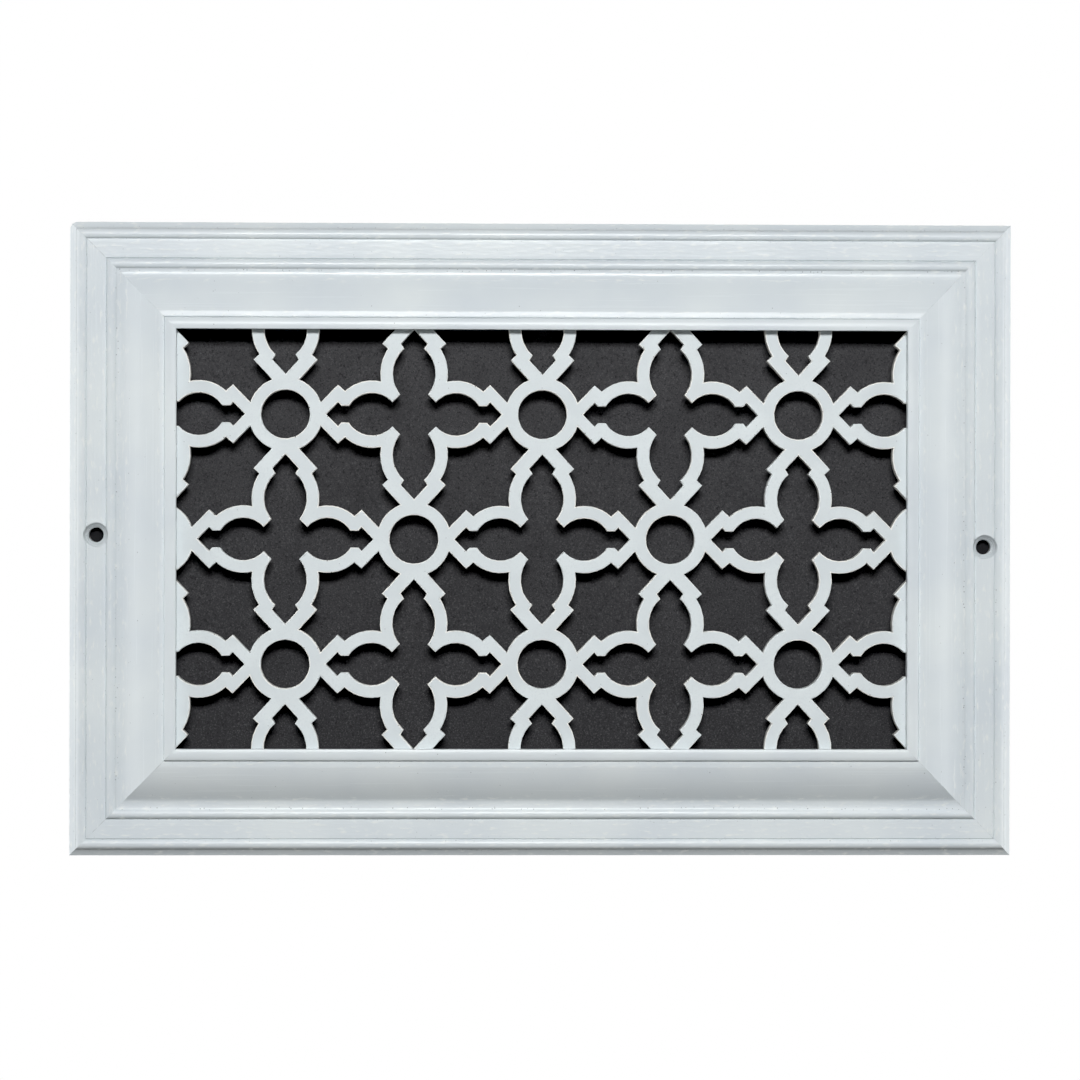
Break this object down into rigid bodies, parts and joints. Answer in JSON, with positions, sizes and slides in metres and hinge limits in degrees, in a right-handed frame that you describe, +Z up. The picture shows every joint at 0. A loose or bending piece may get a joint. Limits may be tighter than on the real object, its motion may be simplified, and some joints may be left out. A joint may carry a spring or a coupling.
{
  "type": "decorative vent cover",
  "caption": "Rectangular wall vent cover: a mitred moulding frame around a flat grille pierced with quatrefoils and rings, over a dark filter sheet.",
  "frame": {"origin": "centre of the cover on the wall plane, which is the back face of the filter sheet", "axes": "+X across the long side, +Z up, +Y into the wall, so the front faces -Y"},
  "size_m": [0.318, 0.0157, 0.2134],
  "materials": {
    "white_paint": "satin white paint on moulding, with fine brush lines and small pinholes",
    "grille_paint": "satin white paint on a flat sawn panel, with dark specks along the cut edges",
    "dark_felt": "matt, with a fine speckled grain"
  },
  "bodies": {
    "root": {"frame_top": "white_paint", "frame_bottom": "white_paint", "frame_left": "white_paint", "frame_right": "white_paint", "grille_panel": "grille_paint", "filter_sheet": "dark_felt"}
  },
  "joints": []
}
